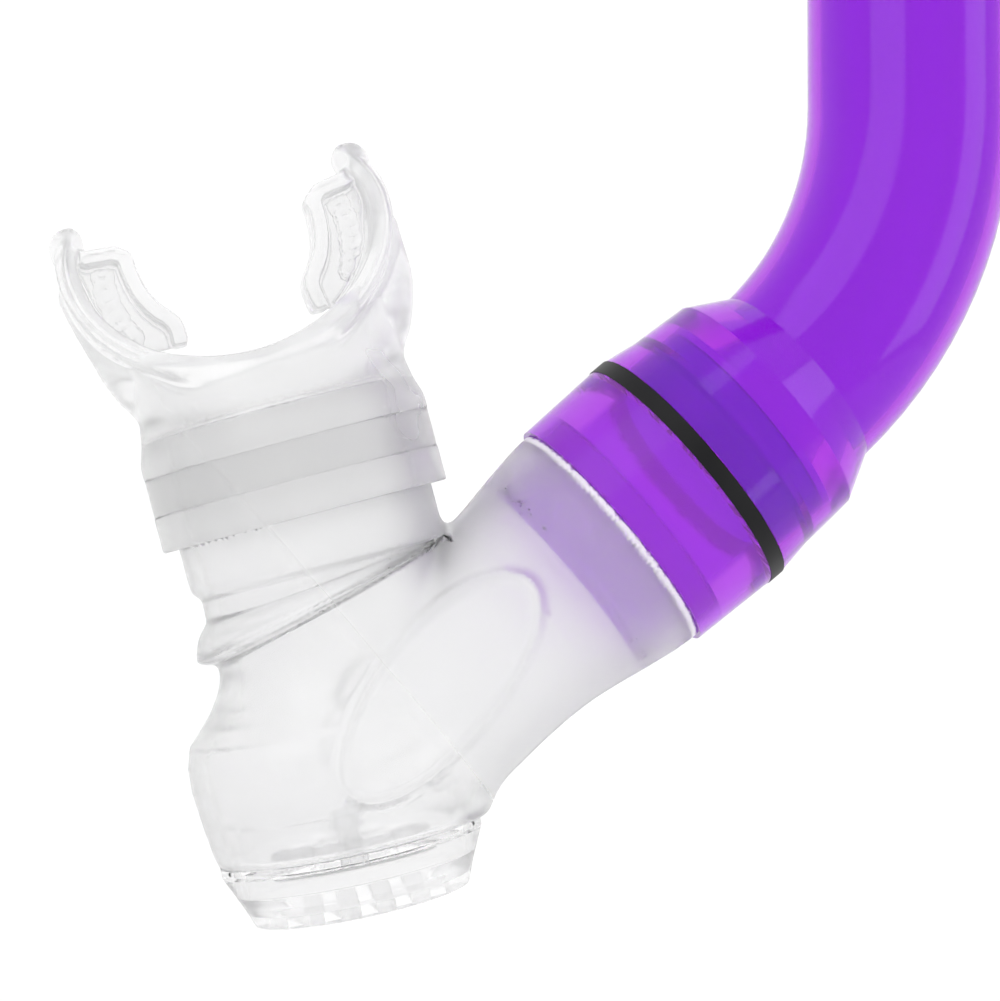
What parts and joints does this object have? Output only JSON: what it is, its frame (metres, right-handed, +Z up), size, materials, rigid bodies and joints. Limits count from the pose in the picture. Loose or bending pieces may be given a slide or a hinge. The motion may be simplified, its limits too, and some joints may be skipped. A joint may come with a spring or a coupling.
{
  "type": "snorkel",
  "caption": "Swivel snorkel with a bent clear tube, corrugated mouth arm, bite mouthpiece, purge valve, strap keeper and float-closed top.",
  "frame": {"origin": "middle of the keeper clip's outer face, where the mask strap lies", "axes": "+Z up along the barrel, towards the dry top; -X from the barrel towards the clip and the mouthpiece"},
  "size_m": [0.1371, 0.0444, 0.3603],
  "materials": {
    "purple_plastic": "clear purple, polished",
    "clear_plastic": "clear",
    "silicone": "frosted translucent",
    "soft_silicone": "clear, soft",
    "black_rubber": "matte",
    "white_silicone": "satin",
    "dark_plastic": "fine texture",
    "foam": "closed-cell foam"
  },
  "bodies": {
    "barrel": {"barrel": "purple_plastic", "valve_seat": "clear_plastic", "float_cage": "purple_plastic", "top_cap": "purple_plastic"},
    "float": {"float_ring": "foam", "float_seal": "black_rubber"},
    "keeper_liner": {"keeper_liner": "silicone"},
    "keeper_collar": {"keeper_collar": "purple_plastic"},
    "keeper_clip": {"keeper_clip": "clear_plastic", "keeper_rivet": "clear_plastic"},
    "swivel": {"swivel_collar": "purple_plastic", "swivel_seal": "black_rubber", "lower_body": "silicone", "purge_seat": "clear_plastic", "purge_cover": "clear_plastic"},
    "mouth_arm": {"flex_arm": "silicone", "mouth_insert": "clear_plastic"},
    "mouthpiece": {"mouthpiece": "soft_silicone", "mouthpiece_band": "clear_plastic"},
    "purge_membrane": {"purge_membrane": "white_silicone"}
  },
  "joints": [
    {"name": "swivel_turn", "type": "hinge", "parent": "barrel", "child": "swivel", "pos_m": [-0.017, 0, -0.15085], "axis": [0.766, 0, 0.6428], "continuous": true},
    {"name": "arm_flex", "type": "hinge", "parent": "swivel", "child": "mouth_arm", "pos_m": [-0.03864, 0, -0.15056], "axis": [0, 1, 0], "range_deg": [-14, 7], "stiffness_Nm_per_rad": 1.2, "deforming": ["flex_arm"]},
    {"name": "mouthpiece_turn", "type": "hinge", "parent": "mouth_arm", "child": "mouthpiece", "pos_m": [-0.05745, 0, -0.14836], "axis": [-0.2588, 0, 0.9659], "range_deg": [-60, 60]},
    {"name": "purge_lift", "type": "slide", "parent": "swivel", "child": "purge_membrane", "axis": [0.1994, 0, -0.9799], "range_m": [0, 0.0012], "stiffness_N_per_m": 60, "springref_m": -0.0004},
    {"name": "float_lift", "type": "slide", "parent": "barrel", "child": "float", "axis": [0, 0, 1], "range_m": [0, 0.005]},
    {"name": "keeper_slide", "type": "slide", "parent": "barrel", "child": "keeper_liner", "axis": [0, 0, 1], "range_m": [-0.04, 0.06]},
    {"name": "keeper_turn", "type": "hinge", "parent": "keeper_liner", "child": "keeper_collar", "pos_m": [0.0242, 0, 0], "axis": [0, 0, 1], "range_deg": [-90, 90]},
    {"name": "clip_turn", "type": "hinge", "parent": "keeper_collar", "child": "keeper_clip", "pos_m": [0, 0, 0], "axis": [1, 0, 0], "range_deg": [-45, 45]}
  ]
}
